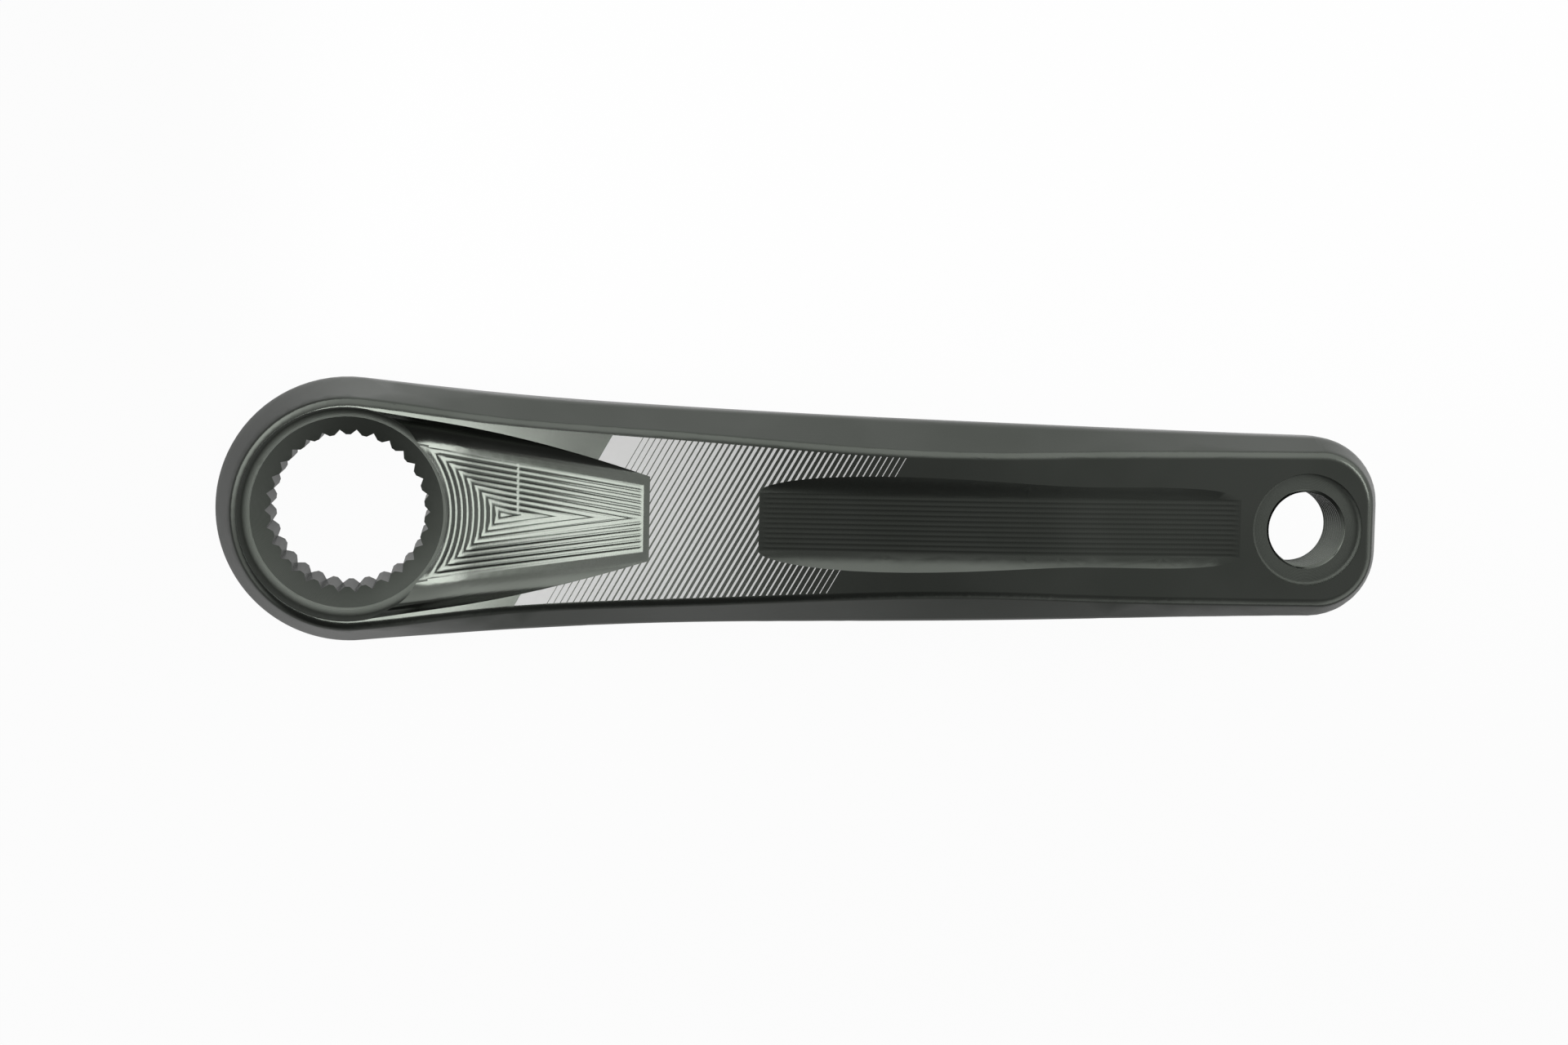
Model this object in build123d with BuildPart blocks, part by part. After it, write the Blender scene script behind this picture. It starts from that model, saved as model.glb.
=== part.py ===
from build123d import *
import os
from math import acos, atan2, cos, degrees, hypot, radians, sin, tan

# A bicycle crank arm, machined from one piece of aluminium, in millimetres.
# The spindle axis is the Z axis, +X runs from the spindle to the pedal, and +Z is the outer side.
# The boss that faces the bicycle's frame ends at z = 0.

# Main sizes
crank_length = 170.0
spindle_face_height = 23.2
pedal_face_height = 33.5
spindle_end_thickness = 15.2
pedal_end_thickness = 13.0

# Flare, where the arm swings out from the level of the spindle end to that of the pedal end
face_flare_start = 17.0
back_flare_start = 24.0
flare_end_before_pedal = 45.0

# Widest outline, seen from the outer side, with stations along the arm and the share of its taper left there
spindle_end_radius = 23.75
arm_stations = (25.0, 60.0, 115.0)
arm_taper_left = (0.69, 0.42, 0.20)
pedal_end_half_width = 16.25
pedal_end_reach = 14.25
pedal_corner_radius = 12.0
shoulder_angle = 6.0
fall_angle = 1.0

# Drafted flank, ruled from a wider outline below the back to a narrower one above the face.
# The steps from the widest outline are those at the spindle end, the stations and the pedal end.
foot_below_back = 2.5
foot_steps = (1.8, 4.6, 4.25, 8.1, 4.6)
brow_above_face = 4.0
brow_steps = (-4.6, -7.1, -6.6, -5.7, -4.4)
face_round = 1.8
flank_round = 5.0
back_chamfer = 1.0

# Boss and splined bore for the spindle
boss_inset = 3.75
boss_chamfer = 0.8
boss_foot_chamfer = 1.2
spline_teeth = 30
spline_tip_radius = 13.63
spline_root_radius = 14.6
spline_front_height = 14.8
spline_lead_in = 0.55
groove_half_angle = 45.0
groove_overlap = 0.5

# Bolt recess in front of the spline: a cone, a rounded foot and a drafted wall
cone_angle = 45.0
recess_foot_radius = 17.0
recess_foot_round = 1.5
recess_mouth_radius = 18.9

# Tapered pocket that runs from the recess along the arm, with a floor that starts just above the recess's foot
pocket_end = 53.2
pocket_end_half_width = 10.8
pocket_end_depth = 0.45
pocket_end_wall_angle = 25.0
pocket_floor_lift = 0.07
pocket_floor_angle = 11.0
pocket_floor_bend = 40.0
pocket_wall_round = 5.0
pocket_wall_inset = 0.1

# Shallow trough along the middle of the arm, with its depths at shares of its length
trough_start = 71.2
trough_end_before_pedal = 10.6
trough_floor_half_width = 5.2
trough_wall_round = 5.0
trough_runout = 0.1
trough_depths = ((0.18, 1.05), (0.60, 0.45), (0.88, 0.36))

# Pedal hole: the bore is the crest of a 9/16 in pedal thread
pedal_thread_crest_radius = 6.6
pedal_thread_chamfer = 0.55
pedal_seat_radius = 10.0
pedal_seat_depth = 1.0
pedal_seat_chamfer = 0.6

# Room that cutters and profiles have past the arm
clear = 10.0

# A face counts as level where its normal rises by more than the first share, and as upright below the second
level = 0.9
upright = 0.05

# Worked out from the sizes above
flare_end = crank_length - flare_end_before_pedal
face_flare_middle = (face_flare_start + flare_end) / 2
back_flare_middle = (back_flare_start + flare_end) / 2
flare_rise = pedal_face_height - spindle_face_height
spindle_back_height = spindle_face_height - spindle_end_thickness
boss_radius = spindle_end_radius - boss_inset
pedal_back_height = pedal_face_height - pedal_end_thickness
recess_foot_height = spline_front_height + (recess_foot_radius - spline_tip_radius) / tan(radians(cone_angle))
groove_foot_radius = spline_tip_radius - groove_overlap
groove_half_width = (spline_root_radius - groove_foot_radius) * tan(radians(groove_half_angle))
lead_in_radius = spline_tip_radius + spline_lead_in
trough_end = crank_length - trough_end_before_pedal
trough_half_width = trough_floor_half_width + trough_wall_round
past_left = -spindle_end_radius - clear
past_right = crank_length + pedal_end_reach + clear
past_side = spindle_end_radius + clear
past_top = pedal_face_height + clear


def face_height(x):
    """Height of the outer face at x."""
    share = 0.5
    step = 0.25
    for _ in range(40):
        rest = 1 - share
        reach = face_flare_start * rest**3 + 3 * face_flare_middle * share * rest + flare_end * share**3
        share += step if reach < x else -step
        step /= 2
    return spindle_face_height + flare_rise * share * share * (3 - 2 * share)


def on_circle(center, radius, lean):
    """Point of a circle, at an angle of lean from its +Y side towards +X."""
    return (center[0] + radius * sin(radians(lean)), center[1] + radius * cos(radians(lean)))


def falling(lean):
    """Direction of +X turned towards -Y by lean."""
    return (cos(radians(lean)), -sin(radians(lean)))


def leaning_plane(height):
    """Plane that leans with the flare and crosses the spindle axis at a height."""
    return Plane((0, 0, height), x_dir=(crank_length, 0, flare_rise), z_dir=(-flare_rise, 0, crank_length))


def arm_outline(steps, stretch):
    """Closed outline of the arm, moved out by the steps and stretched along a leaning plane."""
    end_radius = spindle_end_radius + steps[0]
    corner_radius = pedal_corner_radius + steps[-1]
    corner_x = crank_length + pedal_end_reach - pedal_corner_radius
    corner = (corner_x * stretch, pedal_end_half_width - pedal_corner_radius)
    points = [on_circle((0, 0), end_radius, shoulder_angle)]
    for x, left, step in zip(arm_stations, arm_taper_left, steps[1:-1]):
        half_width = pedal_end_half_width + left * (spindle_end_radius - pedal_end_half_width)
        points.append((x * stretch, half_width + step))
    points.append(on_circle(corner, corner_radius, fall_angle))
    CenterArc((0, 0), end_radius, 180, -90 - shoulder_angle)
    Spline(*points, tangents=[falling(shoulder_angle), falling(fall_angle)])
    CenterArc(corner, corner_radius, 90 - fall_angle, fall_angle - 90)
    Line((corner[0] + corner_radius, corner[1]), (corner[0] + corner_radius, 0))
    mirror(about=Plane.XZ)


with BuildPart() as pocket_cutter:
    face_end = face_height(pocket_end)
    wall_slope = tan(radians(pocket_end_wall_angle))
    floor_end = pocket_end - pocket_end_depth / wall_slope
    floor_height = face_end - pocket_end_depth
    start_height = recess_foot_height + pocket_floor_lift
    floor_knee = floor_end - (floor_height - start_height) / tan(radians(pocket_floor_angle))
    wall_top = pocket_end + (past_top - face_end) / wall_slope
    with BuildSketch(Plane.XZ.offset(-past_side)):
        with BuildLine():
            floor_start = (0, start_height)
            floor_line = FilletPolyline(
                floor_start, (floor_knee, start_height), (floor_end, floor_height), radius=pocket_floor_bend
            )
            Polyline(floor_line @ 1, (wall_top, past_top), (0, past_top), floor_start)
        make_face()
    extrude(amount=2 * past_side)
    # The side walls are tangent to a circle just inside the mouth of the bolt recess
    tangent_radius = recess_mouth_radius - pocket_wall_inset
    end_distance = hypot(pocket_end, pocket_end_half_width)
    taper = degrees(atan2(pocket_end, pocket_end_half_width) - acos(tangent_radius / end_distance))
    tangent_point = on_circle((0, 0), tangent_radius, taper)
    past_end = (pocket_end + clear, pocket_end_half_width - clear * tan(radians(taper)))
    with BuildSketch():
        with BuildLine():
            Polyline((0, 0), tangent_point, past_end, (past_end[0], 0))
            mirror(about=Plane.XZ)
        make_face()
    extrude(amount=past_top, mode=Mode.INTERSECT)
    floor_edges = pocket_cutter.faces().sort_by(Axis.Z)[:3].edges().filter_by(Axis.Y, reverse=True)
    fillet(floor_edges.sort_by(Axis.X)[2:], pocket_wall_round)

with BuildPart() as trough_cutter:
    floor_points = [(trough_start, face_height(trough_start) + trough_runout)]
    for share, depth in trough_depths:
        x = trough_start + share * (trough_end - trough_start)
        floor_points.append((x, face_height(x) - depth))
    floor_points.append((trough_end, face_height(trough_end) + trough_runout))
    with BuildSketch(Plane.XZ.offset(-trough_half_width)):
        with BuildLine():
            Spline(*floor_points)
            Polyline(floor_points[-1], (trough_end, past_top), (trough_start, past_top), floor_points[0])
        make_face()
    extrude(amount=2 * trough_half_width)
    fillet(trough_cutter.edges().filter_by(GeomType.BSPLINE), trough_wall_round)

with BuildPart() as crank_arm:
    # Side profile: face and back both follow the flare
    with BuildSketch(Plane.XZ.offset(-past_side)):
        with BuildLine():
            face_in = Line((past_left, spindle_face_height), (face_flare_start, spindle_face_height))
            face_flare = Bezier(
                face_in @ 1,
                (face_flare_middle, spindle_face_height),
                (face_flare_middle, pedal_face_height),
                (flare_end, pedal_face_height),
            )
            face_out = Line(face_flare @ 1, (past_right, pedal_face_height))
            pedal_side = Line(face_out @ 1, (past_right, pedal_back_height))
            back_out = Line(pedal_side @ 1, (flare_end, pedal_back_height))
            back_flare = Bezier(
                back_out @ 1,
                (back_flare_middle, pedal_back_height),
                (back_flare_middle, spindle_back_height),
                (back_flare_start, spindle_back_height),
            )
            back_in = Line(back_flare @ 1, (past_left, spindle_back_height))
            Line(back_in @ 1, face_in @ 0)
        make_face()
    extrude(amount=2 * past_side)

    # Widest outline
    with BuildSketch():
        with BuildLine():
            arm_outline((0, 0, 0, 0, 0), 1)
        make_face()
    extrude(amount=past_top, mode=Mode.INTERSECT)

    # Drafted flank
    stretch = hypot(crank_length, flare_rise) / crank_length
    with BuildSketch(leaning_plane(spindle_back_height - foot_below_back)):
        with BuildLine():
            arm_outline(foot_steps, stretch)
        make_face()
    with BuildSketch(leaning_plane(spindle_face_height + brow_above_face)):
        with BuildLine():
            arm_outline(brow_steps, stretch)
        make_face()
    loft(ruled=True, mode=Mode.INTERSECT)

    # Rounded rims of the flank and the face, and broken edge of the back
    walls = crank_arm.faces().filter_by(lambda f: abs(f.normal_at().Z) < upright)
    flanks = crank_arm.faces().filter_by(lambda f: upright < f.normal_at().Z < level)
    fillet(walls.edges() & flanks.edges(), flank_round)
    face_edges = crank_arm.faces().filter_by(lambda f: f.normal_at().Z > level).edges()
    face_pedal_edge = face_edges.filter_by(Axis.Y).sort_by(Axis.X)[-1:]
    fillet(face_edges.filter_by(Axis.Y, reverse=True) + face_pedal_edge, face_round)
    back_edges = crank_arm.faces().filter_by(lambda f: f.normal_at().Z < -level).edges()
    back_pedal_edge = back_edges.filter_by(Axis.Y).sort_by(Axis.X)[-1:]
    chamfer(back_edges.filter_by(Axis.Y, reverse=True) + back_pedal_edge, back_chamfer)

    # Boss on the inner side
    with BuildSketch():
        Circle(boss_radius)
    extrude(amount=spindle_back_height + boss_foot_chamfer)
    boss_rims = crank_arm.edges(Select.LAST).filter_by(GeomType.CIRCLE).sort_by(Axis.Z)
    chamfer(boss_rims[0], boss_chamfer)
    chamfer(boss_rims[-1], boss_foot_chamfer)

    # Bolt recess in front of the spline
    with BuildSketch(Plane.XZ):
        with BuildLine():
            cone = Line((spline_tip_radius, spline_front_height), (recess_foot_radius, recess_foot_height))
            foot_center = (recess_foot_radius, recess_foot_height + recess_foot_round)
            foot = CenterArc(foot_center, recess_foot_round, -90, 90)
            wall = Line(foot @ 1, (recess_mouth_radius, spindle_face_height))
            over = Line(wall @ 1, wall @ 1 + (wall % 1) * clear)
            Polyline(over @ 1, (0, (over @ 1).Y), (0, spline_front_height), cone @ 0)
        make_face()
    revolve(axis=Axis.Z, mode=Mode.SUBTRACT)

    # Spline: a round bore with a ring of V grooves, and a lead-in on the inner side
    with BuildSketch():
        Circle(spline_tip_radius)
        with PolarLocations(0, spline_teeth):
            Polygon(
                (groove_foot_radius, -groove_half_width),
                (spline_root_radius, 0),
                (groove_foot_radius, groove_half_width),
                align=None,
            )
    extrude(amount=recess_foot_height, mode=Mode.SUBTRACT)
    with BuildSketch(Plane.XZ):
        Polygon((0, 0), (lead_in_radius, 0), (0, lead_in_radius), align=None)
    revolve(axis=Axis.Z, mode=Mode.SUBTRACT)

    # Pocket and trough in the face
    add(pocket_cutter.part, mode=Mode.SUBTRACT)
    add(trough_cutter.part, mode=Mode.SUBTRACT)

    # Threaded pedal hole with a seat for the pedal's washer
    with Locations((crank_length, 0, pedal_face_height)):
        CounterBoreHole(pedal_thread_crest_radius, pedal_seat_radius, pedal_seat_depth)
    pedal_rims = crank_arm.edges(Select.LAST).filter_by(GeomType.CIRCLE).sort_by(SortBy.RADIUS)
    seat_corner = pedal_rims[2:].sort_by(Axis.Z)[0]
    chamfer(pedal_rims[:2], pedal_thread_chamfer)
    chamfer(seat_corner, pedal_seat_chamfer)

crank_arm.part.label = "crank_arm"
os.makedirs("parts", exist_ok=True)
export_step(crank_arm.part, "parts/crank_arm.step")
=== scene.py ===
"""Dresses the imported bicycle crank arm: tool marks, pedal thread, finishes, printed fade and studio."""

from bisect import bisect
from math import asin, atan, atan2, ceil, cos, exp, hypot, pi, radians, sin, sqrt, tan

import bmesh
import bpy
from bpy.props import FloatProperty, FloatVectorProperty, IntProperty, PointerProperty
from bpy.types import Operator, Panel, PropertyGroup
from mathutils import Matrix, Vector
from mathutils.bvhtree import BVHTree
from mathutils.geometry import delaunay_2d_cdt


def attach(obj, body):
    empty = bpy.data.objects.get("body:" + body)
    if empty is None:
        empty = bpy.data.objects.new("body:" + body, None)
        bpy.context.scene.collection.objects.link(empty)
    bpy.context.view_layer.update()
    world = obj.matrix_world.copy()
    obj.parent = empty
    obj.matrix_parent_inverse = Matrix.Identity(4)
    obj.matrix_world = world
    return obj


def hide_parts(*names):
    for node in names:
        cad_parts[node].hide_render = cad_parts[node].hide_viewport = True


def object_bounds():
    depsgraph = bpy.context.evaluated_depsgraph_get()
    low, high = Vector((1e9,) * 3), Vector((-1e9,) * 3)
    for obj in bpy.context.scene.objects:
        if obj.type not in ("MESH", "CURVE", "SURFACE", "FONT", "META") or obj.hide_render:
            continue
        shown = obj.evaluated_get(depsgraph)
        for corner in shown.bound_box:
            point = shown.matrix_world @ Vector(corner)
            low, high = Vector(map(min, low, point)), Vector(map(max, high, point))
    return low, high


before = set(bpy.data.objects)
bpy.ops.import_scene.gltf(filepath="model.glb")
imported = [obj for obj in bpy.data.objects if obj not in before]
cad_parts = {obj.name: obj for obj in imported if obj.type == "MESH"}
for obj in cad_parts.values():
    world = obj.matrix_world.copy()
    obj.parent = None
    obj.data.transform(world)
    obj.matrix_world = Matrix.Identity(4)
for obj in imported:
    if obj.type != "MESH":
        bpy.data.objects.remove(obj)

bl_info = {
    "name": "Crank arm finish",
    "version": (1, 0, 0),
    "blender": (4, 5, 0),
    "location": "View3D > Sidebar > Crank",
    "description": "Builds the visible model of a machined crank arm and the studio around it",
    "category": "Object",
}

CAD_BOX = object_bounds()

MM = 0.001

# Distances below which corners are joined, and points lie on a surface or on the pocket's bent floor
MERGE = 0.002 * MM
TOUCH = 0.004 * MM
CLOSE = 0.0015 * MM

# Distance in millimetres below which two points of a floor's new patch are one
PATCH_TOUCH = 1e-5

# Angles between faces of one plane, at a crisp edge, and at a crisp edge of a printed or milled face
FLAT = radians(0.05)
SHARP = radians(24)
FACE_SHARP = radians(11)

# Upright part of the normal of a level face and of one that turns down, and area of a wide face
LEVEL = 0.9
DOWNWARD = -0.1
WIDE = 10 * MM * MM

# Halvings in the search for a place on the flare
HALVINGS = 40

# Numbers of the finishes on the arm
SATIN, PRINTED, TURNED_RECESS, TURNED_SEAT, MILLED = range(5)

# Layer and marks that the Weighted Normal modifier reads
FACE_STRENGTH = "__mod_weightednormals_faceweight"
STRONG = 16384
WEAK = -16384

# Places of the CAD solid that the finish refers to, in metres
PEDAL_X = 170 * MM
SPINDLE_FACE = 23.2 * MM
PEDAL_FACE = 33.5 * MM
FLARE_START = 17 * MM
FLARE_END = 125 * MM
POCKET_SPOT = (45 * MM, 0.0)
POCKET_LEVEL = 18.24 * MM
POCKET_BEND = 40 * MM
POCKET_START = 18 * MM
TROUGH_SPAN = (71.5 * MM, 159.2 * MM)
TROUGH_HALF = 5.2 * MM
TROUGH_DEEPEST = 2 * MM
RECESS_MOUTH = 18.9 * MM
RECESS_LEVEL = 20 * MM
SPLINE_FRONT = 14.8 * MM
SEAT_SPOT = (178.6 * MM, 0.0)
SEAT_INNER = 7.15 * MM
SEAT_CORNER = 9.4 * MM
SEAT_RIM = 10 * MM

# Repeats per metre of the noises in the finishes
CLOUD_SCALE = 60
SPECK_SCALE = 2600
PASS_SCALE = 120
FLECK_SCALE = 900
FEED_SCALE = 400

# Noise levels between which the colour changes, and how the noises and the print change the finishes
CLOUD_BAND = (0.35, 0.65)
CLOUD_ROUGH = 0.03
SPECK_ROUGH = 0.06
INK_ROUGH = 0.2
INK_DEEP = 0.94

# Marks in the finishes: depth and strengths of the bumps, shares of the height, pitches of the rings
BUMP_DEPTH = 0.02 * MM
GRAIN_BUMP = 0.12
RING_BUMP = 0.6
RING_HEIGHT = 0.5
RING_SPECK = 0.2
FEED_HEIGHT = 0.6
RECESS_RINGS = 0.3 * MM
SEAT_RINGS = 0.2 * MM

# Depth of the seam's notches as a share of the ridges, mesh lines on each side of the seam
SEAM_NOTCH = 0.7
SEAM_LINES = 4

# Mesh rows in one turn of the thread, and in the rounding at the mouth of the recess
THREAD_ROWS = 16
BREAK_ROWS = 3

# Lamps of the studio
KEY_PLACE = (0.0, -7 * MM, 130 * MM)
KEY_AIM = (0.0, -7 * MM, 0.0)
KEY_SIZE = (43 * MM, 60 * MM)
SIDE_PLACE = (550 * MM, 160 * MM, 360 * MM)
SIDE_AIM = (0.0, 0.0, 20 * MM)
SIDE_SIZE = (300 * MM, 160 * MM)

# Floor of the studio: half its size, its gap below the arm, and the bands in which its painted shade
# ends, across the arm and towards the spindle end
FLOOR_HALF = 4.0
FLOOR_GAP = 0.05 * MM
PAINTED_SHADE_ACROSS = (-90 * MM, 70 * MM)
PAINTED_SHADE_ALONG = (-35 * MM, 10 * MM)

# Width of the camera's sensor in millimetres
SENSOR = 36


class Value:
    """A socket of a node tree. Arithmetic on it adds Math nodes to the tree."""

    def __init__(self, graph, socket):
        self.graph = graph
        self.socket = socket

    def math(self, operation, *values):
        sockets = dict(enumerate(values))
        return self.graph.node("ShaderNodeMath", {"operation": operation}, sockets)

    def __add__(self, other):
        return self.math("ADD", self, other)

    def __radd__(self, other):
        return self.math("ADD", other, self)

    def __sub__(self, other):
        return self.math("SUBTRACT", self, other)

    def __rsub__(self, other):
        return self.math("SUBTRACT", other, self)

    def __mul__(self, other):
        return self.math("MULTIPLY", self, other)

    def __rmul__(self, other):
        return self.math("MULTIPLY", other, self)

    def __truediv__(self, other):
        return self.math("DIVIDE", self, other)

    def __rtruediv__(self, other):
        return self.math("DIVIDE", other, self)

    def __abs__(self):
        return self.math("ABSOLUTE", self)

    def __gt__(self, other):
        return self.math("GREATER_THAN", self, other)

    def __lt__(self, other):
        return self.math("LESS_THAN", self, other)

    def at_least(self, other):
        return self.math("MAXIMUM", self, other)

    def at_most(self, other):
        return self.math("MINIMUM", self, other)

    def fraction(self):
        return self.math("FRACT", self)

    def power(self, exponent):
        return self.math("POWER", self, exponent)

    def sine(self):
        return self.math("SINE", self)

    def cosine(self):
        return self.math("COSINE", self)

    def ramp(self, low, high, start=0.0, end=1.0):
        """Smooth step from start to end while the value goes from low to high."""
        sockets = {"Value": self, "From Min": low, "From Max": high, "To Min": start, "To Max": end}
        return self.graph.node("ShaderNodeMapRange", {"interpolation_type": "SMOOTHSTEP"}, sockets)


class Graph:
    """A node tree that is filled by expressions on its values."""

    def __init__(self, tree):
        self.tree = tree
        tree.nodes.clear()

    def node(self, kind, settings=None, sockets=None, out=0):
        """Adds a node with its settings and socket values or links, and gives one of its outputs."""
        made = self.tree.nodes.new(kind)
        for name, setting in (settings or {}).items():
            setattr(made, name, setting)
        for name, value in (sockets or {}).items():
            socket = made.inputs[name]
            if isinstance(value, Value):
                self.tree.links.new(value.socket, socket)
            else:
                socket.default_value = value
        return Value(self, made.outputs[out]) if made.outputs else None

    def split(self, vector):
        """The three parts of a vector."""
        first = self.node("ShaderNodeSeparateXYZ", sockets={0: vector})
        return [Value(self, output) for output in first.socket.node.outputs]

    def mix(self, factor, one, other):
        """Colour between one and other."""
        sockets = {0: factor, 6: one, 7: other}
        return self.node("ShaderNodeMix", {"data_type": "RGBA"}, sockets, out=2)


class CRANK_PG_finish(PropertyGroup):
    """Colours and gloss of the anodised and printed surfaces."""

    alloy: FloatVectorProperty(
        name="Anodised colour",
        description="Colour of the dyed oxide on the alloy",
        subtype="COLOR",
        size=4,
        default=(0.097, 0.105, 0.094, 1),
    )
    alloy_dark: FloatVectorProperty(
        name="Deep anodised colour",
        description="Colour of the oxide where the dye took more",
        subtype="COLOR",
        size=4,
        default=(0.087, 0.095, 0.084, 1),
    )
    gloss: FloatProperty(
        name="Roughness",
        description="Roughness of the satin surface",
        default=0.22,
        min=0.0,
        max=1.0,
        subtype="FACTOR",
    )
    turned: FloatProperty(
        name="Turned roughness",
        description="Roughness that the turned surfaces have more than the satin ones",
        default=0.3,
        min=0.0,
        max=0.5,
        subtype="FACTOR",
    )
    flank_pitch: FloatProperty(
        name="Flank step",
        description="Height between two passes of the cutter round the flanks",
        unit="LENGTH",
        default=0.45 * MM,
    )
    feed: FloatProperty(
        name="Feed marks",
        description="Distance between the marks that the cutter's teeth left along its path",
        unit="LENGTH",
        default=0.22 * MM,
    )
    ink: FloatVectorProperty(
        name="Print colour",
        description="Colour of the printed fade",
        subtype="COLOR",
        size=4,
        default=(0.45, 0.45, 0.445, 1),
    )
    fade_start: FloatProperty(
        name="Fade start",
        description="Distance from the spindle axis to the fade's solid end, on the arm's middle line",
        unit="LENGTH",
        default=38.4 * MM,
    )
    fade_solid: FloatProperty(
        name="Solid length",
        description="Length of the fade before its first gap",
        unit="LENGTH",
        default=4.5 * MM,
    )
    fade_end: FloatProperty(
        name="Fade end",
        description="Distance from the spindle axis to the last line of the fade",
        unit="LENGTH",
        default=91.3 * MM,
    )
    fade_pitch: FloatProperty(
        name="Line pitch",
        description="Distance from line to line, along the arm",
        unit="LENGTH",
        default=1.12 * MM,
    )
    fade_slant: FloatProperty(
        name="Slant",
        description="Lean of the lines towards the pedal end, per length across the arm",
        default=0.555,
    )
    fade_first: FloatProperty(
        name="First line",
        description="Width of the first line after the solid end, as a share of the pitch",
        default=0.88,
        min=0.0,
        max=1.0,
        subtype="FACTOR",
    )
    fade_last: FloatProperty(
        name="Last line",
        description="Width of the last line as a share of the pitch",
        default=0.11,
        min=0.0,
        max=1.0,
        subtype="FACTOR",
    )


class CRANK_PG_tooling(PropertyGroup):
    """Sizes of what the cutters left on the arm."""

    pocket_pitch: FloatProperty(
        name="Pocket step",
        description="Distance between two passes of the cutter on the pocket's floor",
        unit="LENGTH",
        default=1.03 * MM,
    )
    pocket_depth: FloatProperty(
        name="Pocket ridge",
        description="Height of the ridge left between two passes",
        unit="LENGTH",
        default=0.086 * MM,
    )
    seam: FloatProperty(
        name="Seam",
        description="Distance from the spindle axis to where the cutter stepped over from pass to pass",
        unit="LENGTH",
        default=30.2 * MM,
    )
    seam_width: FloatProperty(
        name="Seam width",
        description="Half width of the notches that the step-over cut into the ridges",
        unit="LENGTH",
        default=0.25 * MM,
    )
    edge_break: FloatProperty(
        name="Edge break",
        description="Width of the rounding at the mouth of the recess",
        unit="LENGTH",
        default=0.3 * MM,
    )
    trough_pitch: FloatProperty(
        name="Trough step",
        description="Distance between two passes of the cutter on the trough's floor",
        unit="LENGTH",
        default=0.88 * MM,
    )
    trough_depth: FloatProperty(
        name="Trough ridge",
        description="Height of the ridge left between two passes",
        unit="LENGTH",
        default=0.032 * MM,
    )
    run_out: FloatProperty(
        name="Run-out",
        description="Length in which the ridges fade at the ends of the floors",
        unit="LENGTH",
        default=0.6 * MM,
    )
    path_step: FloatProperty(
        name="Path step",
        description="Mesh length along the cutter's path",
        unit="LENGTH",
        default=1.5 * MM,
    )
    pass_rows: IntProperty(
        name="Rows per pass",
        description="Mesh rows across each pass of the cutter",
        default=6,
        min=2,
    )
    thread_pitch: FloatProperty(
        name="Thread pitch",
        description="Rise of the pedal thread in one turn",
        unit="LENGTH",
        default=1.27 * MM,
    )
    thread_crest: FloatProperty(
        name="Thread crest radius",
        description="Inner radius of the pedal thread",
        unit="LENGTH",
        default=6.6 * MM,
    )
    thread_root: FloatProperty(
        name="Thread root radius",
        description="Outer radius of the pedal thread",
        unit="LENGTH",
        default=7.14 * MM,
    )
    thread_mouth: FloatProperty(
        name="Thread mouth radius",
        description="Radius of the bevels at both ends of the thread",
        unit="LENGTH",
        default=7.15 * MM,
    )
    thread_steps: IntProperty(
        name="Thread steps",
        description="Mesh columns in one turn of the thread",
        default=96,
        min=24,
    )


class CRANK_PG_studio(PropertyGroup):
    """Camera, floor and light."""

    lens: FloatProperty(
        name="Focal length",
        description="Focal length of the camera",
        unit="CAMERA",
        default=63.75,
    )
    camera_place: FloatVectorProperty(
        name="Camera place",
        description="Place of the camera above the outer side of the arm",
        subtype="XYZ",
        unit="LENGTH",
        default=(24.85 * MM, 41.30 * MM, 513.47 * MM),
    )
    camera_turn: FloatVectorProperty(
        name="Camera turn",
        description="Pitch, yaw and roll of the camera from looking straight down",
        subtype="EULER",
        unit="ROTATION",
        default=(radians(4.854), radians(6.108), radians(-1.118)),
    )
    floor: FloatVectorProperty(
        name="Floor colour",
        description="Colour of the floor",
        subtype="COLOR",
        size=4,
        default=(0.82, 0.82, 0.82, 1),
    )
    # Painted shade: the floor's colour is darker on the arm's lower side and past the spindle end, where
    # the real floor lay in shade
    painted_shade: FloatProperty(
        name="Dim side",
        description="Lightness of the floor on the arm's lower side, as a share of the upper side's",
        default=0.36,
        min=0.0,
        max=1.0,
        subtype="FACTOR",
    )
    white: FloatProperty(
        name="White share",
        description="Share of plain white in what the camera sees of the floor",
        default=0.96,
        min=0.0,
        max=1.0,
        subtype="FACTOR",
    )
    mirrored: FloatProperty(
        name="Mirrored share",
        description="Share of plain paleness in what reflections see of the floor",
        default=0.3,
        min=0.0,
        max=1.0,
        subtype="FACTOR",
    )
    key: FloatProperty(
        name="Key light",
        description="Power of the soft box over the spindle end",
        unit="POWER",
        default=0.064,
    )
    side: FloatProperty(
        name="Side light",
        description="Power of the soft box past the pedal end",
        unit="POWER",
        default=0.6,
    )


def clean_material(name):
    """New material with an empty node tree."""
    material = bpy.data.materials.new(name)
    material.use_nodes = True
    return material, Graph(material.node_tree)


def object_place(graph):
    """Object coordinates as a vector."""
    return graph.node("ShaderNodeTexCoord", out="Object")


def noise(graph, place, scale, detail=2.0):
    """Noise between 0 and 1 at a scale in repeats per metre."""
    sockets = {"Vector": place, "Scale": scale, "Detail": detail}
    return graph.node("ShaderNodeTexNoise", sockets=sockets)


def alloy_layers(graph, finish):
    """Colour, roughness and grain height of the satin oxide."""
    place = object_place(graph)
    cloud = noise(graph, place, CLOUD_SCALE)
    speck = noise(graph, place, SPECK_SCALE, detail=3)
    colour = graph.mix(cloud.ramp(*CLOUD_BAND), tuple(finish.alloy), tuple(finish.alloy_dark))
    rough = finish.gloss - SPECK_ROUGH / 2 + SPECK_ROUGH * speck + CLOUD_ROUGH * cloud
    return place, colour, rough, speck


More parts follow.
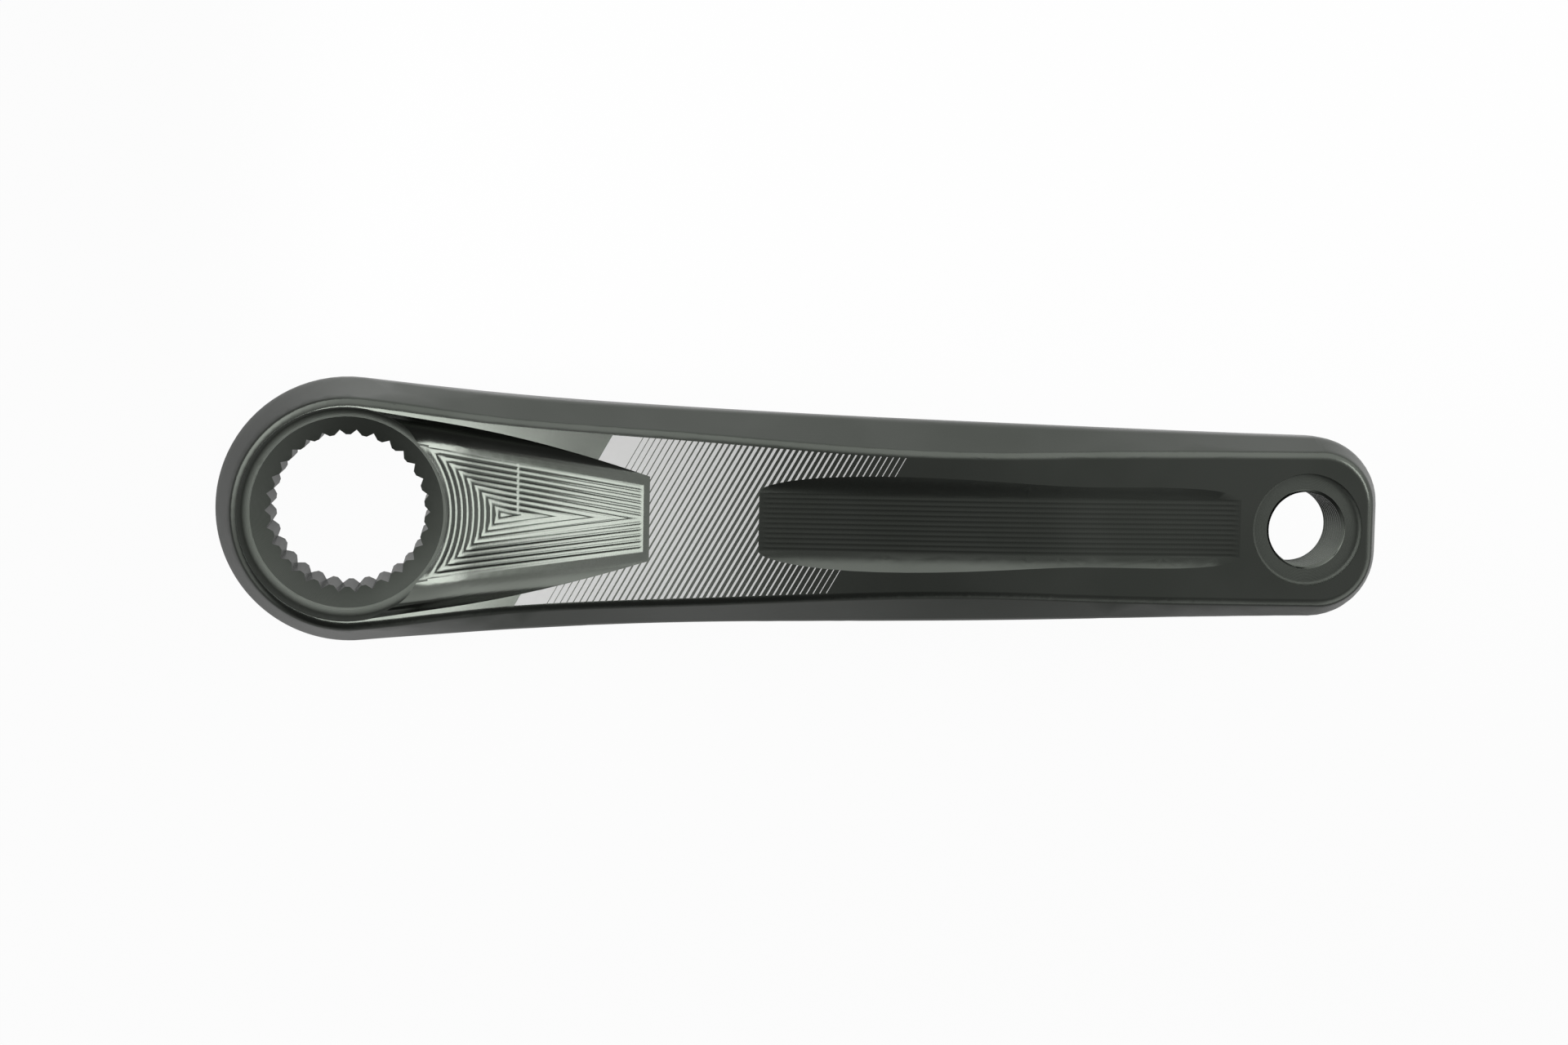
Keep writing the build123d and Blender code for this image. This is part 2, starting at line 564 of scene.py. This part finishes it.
def finish_surface(graph, sockets, height, strength):
    """Ends a material in one shader, with the height as a bump."""
    bump = {"Height": height, "Strength": strength, "Distance": BUMP_DEPTH}
    sockets["Normal"] = graph.node("ShaderNodeBump", sockets=bump)
    shader = graph.node("ShaderNodeBsdfPrincipled", sockets=sockets)
    graph.node("ShaderNodeOutputMaterial", sockets={"Surface": shader})


def satin_oxide(finish):
    """Anodised alloy as it comes from the blasting cabinet and the dye bath."""
    material, graph = clean_material("anodised_satin")
    place, colour, rough, speck = alloy_layers(graph, finish)
    _, _, z = graph.split(place)
    passes = (z * (2 * pi / finish.flank_pitch)).sine() * noise(graph, place, PASS_SCALE)
    sockets = {"Base Color": colour, "Roughness": rough, "Metallic": 1.0}
    finish_surface(graph, sockets, passes + speck, GRAIN_BUMP)
    return material


def printed_oxide(finish):
    """Anodised face with a printed fade of slanted lines that get thinner towards the pedal end."""
    material, graph = clean_material("anodised_printed")
    place, colour, rough, speck = alloy_layers(graph, finish)
    x, y, _ = graph.split(place)
    along = x - finish.fade_slant * y
    run = (along - finish.fade_start) / finish.fade_pitch
    lines = ceil((finish.fade_end - finish.fade_start) / finish.fade_pitch)
    solid = finish.fade_solid / finish.fade_pitch
    loss = (finish.fade_first - finish.fade_last) / (lines - solid)
    width = finish.fade_first - (run - solid).at_least(0.0) * loss
    line = (run.fraction() < width).at_least(run < solid) * (run > 0.0) * (run < float(lines))
    fleck = noise(graph, place, FLECK_SCALE, detail=3)
    ink = graph.mix(fleck, tuple(finish.ink), tuple(c * INK_DEEP for c in finish.ink[:3]) + (1,))
    sockets = {
        "Base Color": graph.mix(line, colour, ink),
        "Metallic": 1 - line,
        "Roughness": rough + line * INK_ROUGH,
    }
    finish_surface(graph, sockets, speck, GRAIN_BUMP)
    return material


def turned_oxide(finish, name, axis_x, pitch):
    """Anodised surface with the fine rings of a turning tool round an upright axis."""
    material, graph = clean_material(name)
    place, colour, rough, speck = alloy_layers(graph, finish)
    x, y, z = graph.split(place)
    across = x - axis_x
    radius = (across * across + y * y).power(0.5)
    rings = ((radius + z) * (2 * pi / pitch)).sine()
    sockets = {"Base Color": colour, "Roughness": rough + finish.turned, "Metallic": 1.0}
    finish_surface(graph, sockets, rings * RING_HEIGHT + speck * RING_SPECK, RING_BUMP)
    return material


def milled_oxide(finish):
    """Anodised floor with the short feed marks of a milling cutter."""
    material, graph = clean_material("anodised_milled")
    place, colour, rough, speck = alloy_layers(graph, finish)
    x, _, _ = graph.split(place)
    feed = (x * (2 * pi / finish.feed)).sine() * noise(graph, place, FEED_SCALE)
    sockets = {"Base Color": colour, "Roughness": rough, "Metallic": 1.0}
    finish_surface(graph, sockets, feed * FEED_HEIGHT + speck, GRAIN_BUMP)
    return material


def face_height(x):
    """Height of the outer face, which swings out between both ends of the flare."""
    low, high = 0.0, 1.0
    middle = (FLARE_START + FLARE_END) / 2
    for _ in range(HALVINGS):
        share = (low + high) / 2
        rest = 1 - share
        reach = FLARE_START * rest**3 + 3 * middle * share * rest + FLARE_END * share**3
        low, high = (share, high) if reach < x else (low, share)
    return SPINDLE_FACE + (PEDAL_FACE - SPINDLE_FACE) * share * share * (3 - 2 * share)


def merged_copy(node):
    """Closed copy of a CAD node's mesh, with the corners of its loose triangles joined."""
    bm = bmesh.new()
    bm.from_mesh(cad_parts[node].data)
    bmesh.ops.remove_doubles(bm, verts=bm.verts, dist=MERGE)
    bm.faces.ensure_lookup_table()
    return bm


def coplanar(bm, spot):
    """Faces in the plane of the one that is met from above at a spot, and that plane's height."""
    above, down = Vector((*spot, 1.0)), Vector((0, 0, -1))
    point, normal, _, _ = BVHTree.FromBMesh(bm).ray_cast(above, down)
    if point is None:
        raise RuntimeError("no face below the spot")

    def height(x, y):
        return point.z - (normal.x * (x - point.x) + normal.y * (y - point.y)) / normal.z

    def in_plane(p):
        return abs((p - point).dot(normal)) < TOUCH

    return [f for f in bm.faces if all(in_plane(v.co) for v in f.verts)], height


def refill(bm, faces, lines, height, ring=()):
    """Swaps faces for a patch whose edges follow lines, with heights given by a function.

    A ring of vertices is the edge of a round hole that the patch gets.
    """
    inside = set(faces)
    edges = dict.fromkeys(e for f in faces for e in f.edges if len(e.link_faces) == 2)
    rims = [e for e in edges if sum(f in inside for f in e.link_faces) == 1]
    fixed = dict.fromkeys(v for e in rims for v in e.verts)
    number = {v: i for i, v in enumerate([*fixed, *ring])}
    runs = [(number[e.verts[0]], number[e.verts[1]]) for e in rims]
    runs += [(number[v], number[w]) for v, w in zip(ring, [*ring[1:], *ring[:1]])]
    points = [v.co.xy / MM for v in number]
    for line in lines:
        runs += [(len(points) + i, len(points) + i + 1) for i in range(len(line) - 1)]
        points += [Vector(p) / MM for p in line]
    known = list(number)
    bmesh.ops.delete(bm, geom=faces, context="FACES")
    places, _, triangles, sources, _, _ = delaunay_2d_cdt(points, runs, [], 1, PATCH_TOUCH)
    verts = []
    for place, source in zip(places, sources):
        first = min(source, default=len(points))
        if first < len(known):
            verts.append(known[first])
        else:
            x, y = place * MM
            verts.append(bm.verts.new((x, y, height(x, y))))
    around = set(ring)
    corners = [[verts[i] for i in triangle] for triangle in triangles]
    return [bm.faces.new(c) for c in corners if not around.issuperset(c)]


def scallop(across, pitch, depth, notch=0.0):
    """Depth below the ridges, at a distance across the passes of a round cutter.

    A notch takes its share off the ridges.
    """
    share = across / pitch % 1.0
    return depth * (1 - (1 - notch) * (2 * share - 1) ** 2)


def side_crossing(line, lean, radius):
    """Place along the arm where a leaning line leaves a circle round the spindle axis."""
    square = 1 + lean * lean
    half = line * lean
    return (half + sqrt(half * half - square * (line * line - radius * radius))) / square


def spaced(start, end, step):
    """Numbers from start to end, at most one step apart."""
    count = max(1, ceil(abs(end - start) / step))
    return [start + (end - start) * i / count for i in range(count + 1)]


def bent_floor(level, slanted):
    """Height along the arm of a floor that is level at first and bends up into a slanted plane."""
    slope = slanted(1, 0) - slanted(0, 0)
    knee = (level - slanted(0, 0)) / slope
    turn = atan(slope)
    reach = POCKET_BEND * tan(turn / 2)

    def at(x):
        if x < knee - reach:
            return level
        if x > knee + reach * cos(turn):
            return slanted(x, 0)
        return level + POCKET_BEND - sqrt(POCKET_BEND**2 - (x - knee + reach) ** 2)

    return at


def cut_pocket_floor(bm, tooling):
    """Gives the pocket's floor the ridges of a cutter that went round inside its outline."""
    _, slanted = coplanar(bm, POCKET_SPOT)
    floor = bent_floor(POCKET_LEVEL, slanted)

    def on_floor(p):
        return p.x > 0 and abs(p.z - floor(p.x)) < CLOSE

    faces = [f for f in bm.faces if all(on_floor(v.co) for v in f.verts)]
    rim = [v.co.copy() for f in faces for v in f.verts]
    end = max(rim, key=lambda p: (round(p.x / TOUCH), p.y))
    round_rim = [hypot(p.x, p.y) for p in rim if hypot(p.x, p.y) < POCKET_START]
    side_rim = [p for p in rim if p.y > 0 and hypot(p.x, p.y) > POCKET_START and p.x < end.x - TOUCH]
    bend_end = max(side_rim, key=lambda p: p.x)
    lean = (bend_end.y - end.y) / (end.x - bend_end.x)
    outer = min(p.y + p.x * lean for p in [*side_rim, end])
    recess = max(round_rim)
    stretch = hypot(1, lean)
    row = tooling.pocket_pitch / tooling.pass_rows
    foot = end.x - row

    def height(x, y):
        inset = max(0.0, min((outer - x * lean - abs(y)) / stretch, hypot(x, y) - recess))
        fade = min(max(0.0, (foot - x) / tooling.run_out), 1.0)
        notch = SEAM_NOTCH * exp(-(((x - tooling.seam) / tooling.seam_width) ** 2)) if y > 0 else 0.0
        return floor(x) - scallop(inset, tooling.pocket_pitch, fade * tooling.pocket_depth, notch)

    lines = []
    crossings = [(foot - tooling.run_out, -1)]
    for i in range(-SEAM_LINES, SEAM_LINES + 1):
        crossings.append((tooling.seam + tooling.seam_width * i / 2, 0))
    for x, lower in crossings:
        reach = outer - x * lean - row * stretch
        lines.append([(x, lower * reach), (x, reach)])
    inset = row
    while True:
        side = outer - inset * stretch
        radius = recess + inset
        tip = side / lean
        if tip < radius + row:
            break
        meet = side_crossing(side, lean, radius)
        stop = min(tip, foot)
        upper = [(x, side - x * lean) for x in spaced(stop, meet, tooling.path_step)]
        turn = asin((side - meet * lean) / radius)
        angles = spaced(turn, -turn, tooling.path_step / radius)
        arc = [(radius * cos(a), radius * sin(a)) for a in angles]
        lower = [(x, -y) for x, y in reversed(upper)]
        lines.append(upper + arc[1:-1] + lower)
        inset += row
    return refill(bm, faces, lines, height)


def smooth_through(points):
    """Smooth function through points that are sorted by their first number."""
    xs = [p[0] for p in points]
    zs = [p[1] for p in points]
    last = len(points) - 1
    slopes = []
    for i in range(last + 1):
        a, b = max(0, i - 1), min(last, i + 1)
        slopes.append((zs[b] - zs[a]) / (xs[b] - xs[a]))

    def at(x):
        i = min(max(bisect(xs, x) - 1, 0), last - 1)
        span = xs[i + 1] - xs[i]
        t = (x - xs[i]) / span
        bend = (1 - t) * t * span * ((1 - t) * slopes[i] - t * slopes[i + 1])
        return zs[i] + (zs[i + 1] - zs[i]) * t * t * (3 - 2 * t) + bend

    return at


def cut_trough_floor(bm, tooling):
    """Gives the trough's floor the ridges of a cutter that went to and fro along the arm."""
    low, high = TROUGH_SPAN
    edge = [v.co.copy() for v in bm.verts if abs(v.co.y - TROUGH_HALF) < TOUCH and low < v.co.x < high]
    edge = sorted((p.x, p.z) for p in edge if p.z > face_height(p.x) - TROUGH_DEEPEST)
    start, end = edge[0][0], edge[-1][0]
    floor = smooth_through(edge)
    row = tooling.trough_pitch / tooling.pass_rows

    def on_floor(p):
        return abs(p.y) < TROUGH_HALF + TOUCH and start - TOUCH < p.x < end + TOUCH

    faces = [f for f in bm.faces if f.normal.z > LEVEL and all(on_floor(v.co) for v in f.verts)]

    def height(x, y):
        fade = min(max(0.0, (min(x - start, end - x) - row) / tooling.run_out), 1.0)
        return floor(x) - scallop(TROUGH_HALF - y, tooling.trough_pitch, fade * tooling.trough_depth)

    count = ceil(2 * TROUGH_HALF / row)
    lines = []
    for i in range(1, count):
        y = TROUGH_HALF - 2 * TROUGH_HALF * i / count
        lines.append([(x, y) for x in spaced(start + row, end - row, tooling.path_step)])
    return refill(bm, faces, lines, height)


def thread_tree():
    """Geometry nodes of an internal 60 degree thread with a bevel at both ends, on an upright axis."""
    tree = bpy.data.node_groups.new("pedal_thread", "GeometryNodeTree")
    graph = Graph(tree)
    names = ("Pitch", "Crest radius", "Root radius", "Mouth radius", "Bottom", "Top", "Axis", "Turns")
    for name in names:
        tree.interface.new_socket(name, in_out="INPUT", socket_type="NodeSocketFloat")
    for name in ("Columns", "Rows"):
        tree.interface.new_socket(name, in_out="INPUT", socket_type="NodeSocketInt")
    tree.interface.new_socket("Finish", in_out="INPUT", socket_type="NodeSocketMaterial")
    tree.interface.new_socket("Thread", in_out="OUTPUT", socket_type="NodeSocketGeometry")
    given = {s.name: Value(graph, s) for s in tree.nodes.new("NodeGroupInput").outputs}
    pitch, crest, root, mouth, bottom, top, axis, turns = (given[name] for name in names)
    sockets = {
        "Size X": 2 * pi,
        "Size Y": turns,
        "Vertices X": given["Columns"] + 1,
        "Vertices Y": given["Rows"] + 1,
    }
    grid = graph.node("GeometryNodeMeshGrid", sockets=sockets)
    angle, turn, _ = graph.split(graph.node("GeometryNodeInputPosition"))
    rise = (bottom + top) * 0.5 + pitch * (turn + angle / (2 * pi))
    height = rise.at_least(bottom).at_most(top)
    from_crest = abs((turn + 0.5).fraction() - 0.5) * pitch
    half_flat = pitch / 8
    steepness = sqrt(3)
    flank = ((from_crest - half_flat) * steepness).at_least(0.0).at_most(root - crest)
    bevel = (mouth - (top - height)).at_least(mouth - (height - bottom))
    radius = (crest + flank).at_least(bevel)
    parts = {"X": axis + radius * angle.cosine(), "Y": radius * angle.sine(), "Z": height}
    place = graph.node("ShaderNodeCombineXYZ", sockets=parts)
    wound = graph.node("GeometryNodeSetPosition", sockets={"Geometry": grid, "Position": place})
    joined = graph.node("GeometryNodeMergeByDistance", sockets={"Geometry": wound, "Distance": MERGE})
    plain = graph.node("GeometryNodeRealizeInstances", sockets={"Geometry": joined})
    sockets = {"Geometry": plain, "Material": given["Finish"]}
    dressed = graph.node("GeometryNodeSetMaterial", sockets=sockets)
    tree.links.new(dressed.socket, tree.nodes.new("NodeGroupOutput").inputs["Thread"])
    return tree


def evaluated_tree(tree, values):
    """Plain mesh that a tree of geometry nodes makes from its inputs."""
    maker = bpy.data.objects.new(tree.name, bpy.data.meshes.new(tree.name))
    bpy.context.scene.collection.objects.link(maker)
    modifier = maker.modifiers.new(tree.name, "NODES")
    modifier.node_group = tree
    for socket in tree.interface.items_tree:
        if socket.in_out == "INPUT":
            modifier[socket.identifier] = values[socket.name]
    depsgraph = bpy.context.evaluated_depsgraph_get()
    mesh = bpy.data.meshes.new_from_object(maker.evaluated_get(depsgraph))
    bpy.data.objects.remove(maker)
    return mesh


def from_pedal_axis(point):
    """Distance of a point from the pedal's axis."""
    return hypot(point.x - PEDAL_X, point.y)


def cut_thread(bm, tooling, finish):
    """Swaps the plain wall of the pedal hole for its thread."""
    mouth = tooling.thread_mouth
    wall = [f for f in bm.faces if all(from_pedal_axis(v.co) < mouth + TOUCH for v in f.verts)]
    heights = [v.co.z for f in wall for v in f.verts]
    bottom, top = min(heights), max(heights)
    turns = ceil((top - bottom) / tooling.thread_pitch) + 2
    values = {
        "Pitch": tooling.thread_pitch,
        "Crest radius": tooling.thread_crest,
        "Root radius": tooling.thread_root,
        "Mouth radius": mouth,
        "Bottom": bottom,
        "Top": top,
        "Axis": PEDAL_X,
        "Turns": float(turns),
        "Columns": tooling.thread_steps,
        "Rows": THREAD_ROWS * turns,
        "Finish": finish,
    }
    mesh = evaluated_tree(thread_tree(), values)
    if len(mesh.polygons) == 0:
        raise RuntimeError("the thread is empty")
    seat, _ = coplanar(bm, SEAT_SPOT)
    lowest = {v for v in bm.verts if abs(v.co.z - bottom) < TOUCH}
    back = [f for f in bm.faces if f.normal.z < -LEVEL and lowest.issuperset(f.verts)]
    bmesh.ops.delete(bm, geom=wall, context="FACES_ONLY")
    old = set(bm.verts)
    bm.from_mesh(mesh)
    made = [v for v in bm.verts if v not in old]
    for faces, level in ((seat, top), (back, bottom)):
        ring = [v for v in made if abs(v.co.z - level) < TOUCH and v.is_boundary]
        ring.sort(key=lambda v: atan2(v.co.y, v.co.x - PEDAL_X))
        refill(bm, faces, [], lambda x, y: level, ring)
    loose = [v for v in bm.verts if not v.link_faces]
    bmesh.ops.delete(bm, geom=loose, context="VERTS")


def sort_finishes(bm, pocket, trough):
    """Gives each face the number of its finish."""
    milled = {*pocket, *trough}

    def on_face(p):
        return abs(p.z - face_height(p.x)) < TOUCH

    def in_recess(p):
        return hypot(p.x, p.y) < RECESS_MOUTH + TOUCH and p.z > SPLINE_FRONT - TOUCH

    def on_seat(p):
        return SEAT_INNER - TOUCH < from_pedal_axis(p) < SEAT_RIM + TOUCH

    for face in bm.faces:
        spots = [v.co for v in face.verts]
        if face in milled:
            face.material_index = MILLED
        elif face.normal.z > LEVEL and all(map(on_face, spots)):
            face.material_index = PRINTED
        elif all(map(in_recess, spots)):
            face.material_index = TURNED_RECESS
        elif face.normal.z > DOWNWARD and all(map(on_seat, spots)):
            face.material_index = TURNED_SEAT


def crisp_edges(bm):
    """Smooth surfaces with crisp edges, and a soft corner round the pedal's seat."""
    for face in bm.faces:
        face.smooth = True
    for edge in bm.edges:
        one, other = (f.material_index for f in edge.link_faces)
        bordered = one != other and {one, other} & {PRINTED, MILLED}
        edge.smooth = edge.calc_face_angle() < (FACE_SHARP if bordered else SHARP)
        reach = [from_pedal_axis(v.co) for v in edge.verts]
        below = max(v.co.z for v in edge.verts) < PEDAL_FACE - TOUCH
        if below and min(reach) > SEAT_CORNER - TOUCH and max(reach) < SEAT_RIM + TOUCH:
            edge.smooth = True


def favour_wide_faces(bm):
    """Marks the faces that keep their own direction where they run smoothly into narrow ones."""
    strength = bm.faces.layers.int.new(FACE_STRENGTH)
    for face in bm.faces:
        wide = face.material_index == PRINTED or face.calc_area() > WIDE
        face[strength] = STRONG if wide else WEAK


def break_recess_edge(bm, tooling):
    """Rounds the sharp edge at the mouth of the recess."""
    edges = []
    for edge in bm.edges:
        finishes = {f.material_index for f in edge.link_faces}
        mouth = TURNED_RECESS in finishes and finishes & {SATIN, PRINTED}
        high = min(v.co.z for v in edge.verts) > RECESS_LEVEL
        if mouth and high and edge.calc_face_angle() > SHARP:
            edges.append(edge)
    bmesh.ops.bevel(
        bm,
        geom=edges,
        offset=tooling.edge_break,
        segments=BREAK_ROWS,
        profile=0.5,
        affect="EDGES",
        clamp_overlap=True,
        material=SATIN,
    )


def show(name, mesh):
    """New object in the scene."""
    piece = bpy.data.objects.new(name, mesh)
    bpy.context.scene.collection.objects.link(piece)
    return piece


class CRANK_OT_machined_arm(Operator):
    """Build the machined arm with its tool marks, thread and finishes"""

    bl_idname = "crank.machined_arm"
    bl_label = "Machined arm"
    bl_options = {"REGISTER", "UNDO"}

    def execute(self, context):
        finish = context.scene.crank_finish
        tooling = context.scene.crank_tooling
        finishes = [
            satin_oxide(finish),
            printed_oxide(finish),
            turned_oxide(finish, "anodised_turned_recess", 0.0, RECESS_RINGS),
            turned_oxide(finish, "anodised_turned_seat", PEDAL_X, SEAT_RINGS),
            milled_oxide(finish),
        ]
        bm = merged_copy("crank_arm")
        pocket = cut_pocket_floor(bm, tooling)
        trough = cut_trough_floor(bm, tooling)
        cut_thread(bm, tooling, finishes[SATIN])
        bmesh.ops.recalc_face_normals(bm, faces=bm.faces)
        sort_finishes(bm, pocket, trough)
        parts = {"verts": bm.verts, "edges": bm.edges}
        bmesh.ops.dissolve_limit(bm, angle_limit=FLAT, delimit={"MATERIAL"}, **parts)
        break_recess_edge(bm, tooling)
        crisp_edges(bm)
        favour_wide_faces(bm)
        draft_mesh = bpy.data.meshes.new("machined_arm_draft")
        bm.to_mesh(draft_mesh)
        bm.free()
        for material in finishes:
            draft_mesh.materials.append(material)
        draft = show("machined_arm_draft", draft_mesh)
        weighted = draft.modifiers.new("Weighted normals", "WEIGHTED_NORMAL")
        weighted.mode = "CORNER_ANGLE"
        weighted.keep_sharp = True
        weighted.use_face_influence = True
        depsgraph = context.evaluated_depsgraph_get()
        mesh = bpy.data.meshes.new_from_object(draft.evaluated_get(depsgraph))
        bpy.data.objects.remove(draft)
        mesh.name = "machined_arm"
        arm = show("machined_arm", mesh)
        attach(arm, "root")
        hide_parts("crank_arm")
        return {"FINISHED"}


def soft_box(name, place, aim, size, power):
    """Rectangular soft box that faces a point."""
    lamp = bpy.data.lights.new(name, "AREA")
    lamp.shape = "RECTANGLE"
    lamp.size, lamp.size_y = size
    lamp.energy = power
    box = bpy.data.objects.new(name, lamp)
    box.location = place
    box.rotation_euler = (Vector(aim) - Vector(place)).to_track_quat("-Z", "Y").to_euler()
    bpy.context.scene.collection.objects.link(box)


def light_room():
    """World that is pale on one side and darker on the other, and plain white behind the object."""
    world = bpy.data.worlds.new("studio_room")
    world.use_nodes = True
    graph = Graph(world.node_tree)
    x, y, _ = graph.split(graph.node("ShaderNodeTexCoord", out="Generated"))
    overall = y.ramp(-0.35, 0.0, start=0.08, end=0.28)
    upper_side = y.ramp(0.1, 0.7) * 1.05
    pedal_side = x.ramp(0.0, 0.35) * 0.2
    corners = abs(0.8 * x - 0.6 * y).ramp(0.55, 0.95)
    spindle_side = x.ramp(-0.8, -0.45, start=0.8, end=0.0)
    level = overall + upper_side + pedal_side + corners + spindle_side
    grey = graph.node("ShaderNodeCombineXYZ", sockets={"X": level, "Y": level, "Z": level})
    room = graph.node("ShaderNodeBackground", sockets={"Color": grey})
    white = graph.node("ShaderNodeBackground", sockets={"Color": (1, 1, 1, 1)})
    seen = graph.node("ShaderNodeLightPath", out="Is Camera Ray")
    shader = graph.node("ShaderNodeMixShader", sockets={0: seen, 1: room, 2: white})
    graph.node("ShaderNodeOutputWorld", sockets={"Surface": shader})
    bpy.context.scene.world = world


def lay_floor(studio):
    """Pale floor that looks white and keeps a faint shadow, and can't be seen from below; its colour
    holds painted shade on the arm's lower side and past the spindle end.
    """
    material, graph = clean_material("pale_floor")
    x, y, _ = graph.split(object_place(graph))
    # Painted shade: darker floor colour on the arm's lower side and past the spindle end
    shade = tuple(c * studio.painted_shade for c in studio.floor[:3]) + (1,)
    colour = graph.mix(y.ramp(*PAINTED_SHADE_ACROSS) * x.ramp(*PAINTED_SHADE_ALONG), shade, tuple(studio.floor))
    matt = graph.node("ShaderNodeBsdfDiffuse", sockets={"Color": colour})
    rays = ("Is Camera Ray", "Is Glossy Ray", "Is Transmission Ray")
    camera, glossy, through = (graph.node("ShaderNodeLightPath", out=ray) for ray in rays)
    # Reflections see the floor glow in its colour, painted shade included; the camera sees plain white
    pale = graph.mix(camera, colour, (1, 1, 1, 1))
    glow = graph.node("ShaderNodeEmission", sockets={"Color": pale, "Strength": 1.0})
    seen = camera * studio.white + (glossy + through) * studio.mirrored
    front = graph.node("ShaderNodeMixShader", sockets={0: seen, 1: matt, 2: glow})
    below = graph.node("ShaderNodeNewGeometry", out="Backfacing")
    clear = graph.node("ShaderNodeBsdfTransparent")
    shader = graph.node("ShaderNodeMixShader", sockets={0: below, 1: front, 2: clear})
    graph.node("ShaderNodeOutputMaterial", sockets={"Surface": shader})
    bm = bmesh.new()
    bmesh.ops.create_grid(bm, x_segments=1, y_segments=1, size=FLOOR_HALF)
    bmesh.ops.translate(bm, verts=bm.verts, vec=(0, 0, CAD_BOX[0].z - FLOOR_GAP))
    mesh = bpy.data.meshes.new("floor")
    bm.to_mesh(mesh)
    bm.free()
    mesh.materials.append(material)
    show("floor", mesh)


class CRANK_OT_studio(Operator):
    """Set up the floor, the light and the camera"""

    bl_idname = "crank.studio"
    bl_label = "Studio"
    bl_options = {"REGISTER", "UNDO"}

    def execute(self, context):
        studio = context.scene.crank_studio
        lay_floor(studio)
        light_room()
        soft_box("key_light", KEY_PLACE, KEY_AIM, KEY_SIZE, studio.key)
        soft_box("side_light", SIDE_PLACE, SIDE_AIM, SIDE_SIZE, studio.side)
        camera = bpy.data.cameras.new("camera")
        camera.lens = studio.lens
        camera.sensor_width = SENSOR
        viewer = bpy.data.objects.new("camera", camera)
        pitch, yaw, roll = studio.camera_turn
        turn = Matrix.Rotation(roll, 4, "Z") @ Matrix.Rotation(pitch, 4, "X")
        turn = turn @ Matrix.Rotation(yaw, 4, "Y")
        viewer.matrix_world = Matrix.Translation(studio.camera_place) @ turn.transposed()
        context.scene.collection.objects.link(viewer)
        context.scene.camera = viewer
        context.scene.view_settings.view_transform = "Standard"
        return {"FINISHED"}


class CRANK_PT_sidebar(Panel):
    """Lists the steps and what they can be set to"""

    bl_idname = "CRANK_PT_sidebar"
    bl_label = "Crank arm"
    bl_space_type = "VIEW_3D"
    bl_region_type = "UI"
    bl_category = "Crank"

    def draw(self, context):
        for operator in (CRANK_OT_machined_arm, CRANK_OT_studio):
            self.layout.operator(operator.bl_idname)
        for name in GROUPS:
            group = getattr(context.scene, name)
            box = self.layout.box()
            for setting in group.__annotations__:
                box.prop(group, setting)


GROUPS = {
    "crank_finish": CRANK_PG_finish,
    "crank_tooling": CRANK_PG_tooling,
    "crank_studio": CRANK_PG_studio,
}
CLASSES = (*GROUPS.values(), CRANK_OT_machined_arm, CRANK_OT_studio, CRANK_PT_sidebar)


def register():
    for cls in CLASSES:
        bpy.utils.register_class(cls)
    for name, group in GROUPS.items():
        setattr(bpy.types.Scene, name, PointerProperty(type=group))


def unregister():
    for name in GROUPS:
        delattr(bpy.types.Scene, name)
    for cls in reversed(CLASSES):
        bpy.utils.unregister_class(cls)


def main():
    register()
    bpy.ops.crank.machined_arm()
    bpy.ops.crank.studio()


if __name__ == "__main__":
    main()
